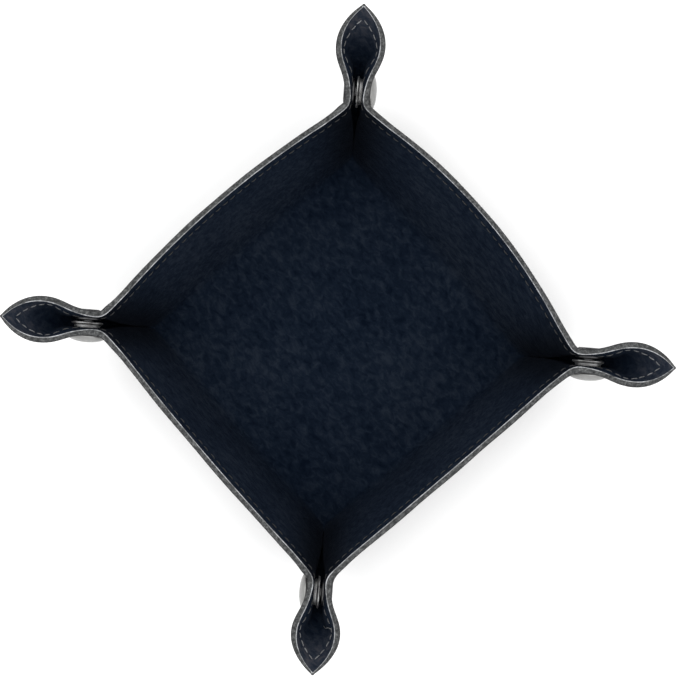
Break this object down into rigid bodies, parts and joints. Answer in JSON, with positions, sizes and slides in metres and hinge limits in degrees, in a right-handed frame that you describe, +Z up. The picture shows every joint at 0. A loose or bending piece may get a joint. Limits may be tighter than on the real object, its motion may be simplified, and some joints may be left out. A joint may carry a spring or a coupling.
{
  "type": "folding dice tray",
  "caption": "Square open tray of leather lined with velvet: its sides stand up because each corner is pinched into a leaf-shaped ear and held by a press stud.",
  "frame": {"origin": "centre of the floor's underside, on the surface the tray stands on", "axes": "+Z up; the sides lie along X and Y; -Y is the front side, +X the right side"},
  "size_m": [0.1866, 0.1866, 0.0512],
  "materials": {
    "leather": "smooth-grained dyed leather with a raw grey cut edge",
    "velvet": "short-pile velvet, very dark blue",
    "thread": "waxed sewing thread, light grey",
    "cap_metal": "satin plated press stud cap",
    "snap_steel": "bright plated press stud parts"
  },
  "bodies": {
    "tray": {"floor_leather": "leather", "floor_lining": "velvet", "wall_leather_back": "leather", "wall_leather_left": "leather", "wall_leather_front": "leather", "wall_leather_right": "leather", "wall_lining_back": "velvet", "wall_lining_left": "velvet", "wall_lining_front": "velvet", "wall_lining_right": "velvet", "wall_thread_back": "thread", "wall_thread_left": "thread", "wall_thread_front": "thread", "wall_thread_right": "thread", "ear_leather_fixed_back_right": "leather", "ear_leather_fixed_back_left": "leather", "ear_leather_fixed_front_left": "leather", "ear_leather_fixed_front_right": "leather", "ear_lining_fixed_back_right": "velvet", "ear_lining_fixed_back_left": "velvet", "ear_lining_fixed_front_left": "velvet", "ear_lining_fixed_front_right": "velvet", "ear_thread_fixed_back_right": "thread", "ear_thread_fixed_back_left": "thread", "ear_thread_fixed_front_left": "thread", "ear_thread_fixed_front_right": "thread", "snap_stud_back_right": "snap_steel", "snap_stud_back_left": "snap_steel", "snap_stud_front_left": "snap_steel", "snap_stud_front_right": "snap_steel", "snap_post_back_right": "snap_steel", "snap_post_back_left": "snap_steel", "snap_post_front_left": "snap_steel", "snap_post_front_right": "snap_steel"},
    "lift_ear_back_right": {"ear_leather_lift_back_right": "leather", "ear_lining_lift_back_right": "velvet", "ear_thread_lift_back_right": "thread", "snap_cap_back_right": "cap_metal", "snap_socket_back_right": "snap_steel", "snap_ring_back_right": "snap_steel"},
    "lift_ear_back_left": {"ear_leather_lift_back_left": "leather", "ear_lining_lift_back_left": "velvet", "ear_thread_lift_back_left": "thread", "snap_cap_back_left": "cap_metal", "snap_socket_back_left": "snap_steel", "snap_ring_back_left": "snap_steel"},
    "lift_ear_front_left": {"ear_leather_lift_front_left": "leather", "ear_lining_lift_front_left": "velvet", "ear_thread_lift_front_left": "thread", "snap_cap_front_left": "cap_metal", "snap_socket_front_left": "snap_steel", "snap_ring_front_left": "snap_steel"},
    "lift_ear_front_right": {"ear_leather_lift_front_right": "leather", "ear_lining_lift_front_right": "velvet", "ear_thread_lift_front_right": "thread", "snap_cap_front_right": "cap_metal", "snap_socket_front_right": "snap_steel", "snap_ring_front_right": "snap_steel"}
  },
  "joints": [
    {"name": "unsnap_back_right", "type": "hinge", "parent": "tray", "child": "lift_ear_back_right", "pos_m": [0.054, 0.054, 0.00133], "axis": [-0.2487, -0.145, -0.9577], "range_deg": [0, 35]},
    {"name": "unsnap_back_left", "type": "hinge", "parent": "tray", "child": "lift_ear_back_left", "pos_m": [-0.054, 0.054, 0.00133], "axis": [-0.2487, 0.145, 0.9577], "range_deg": [0, 35]},
    {"name": "unsnap_front_left", "type": "hinge", "parent": "tray", "child": "lift_ear_front_left", "pos_m": [-0.054, -0.054, 0.00133], "axis": [0.2487, 0.145, -0.9577], "range_deg": [0, 35]},
    {"name": "unsnap_front_right", "type": "hinge", "parent": "tray", "child": "lift_ear_front_right", "pos_m": [0.054, -0.054, 0.00133], "axis": [-0.145, 0.2487, -0.9577], "range_deg": [0, 35]}
  ]
}
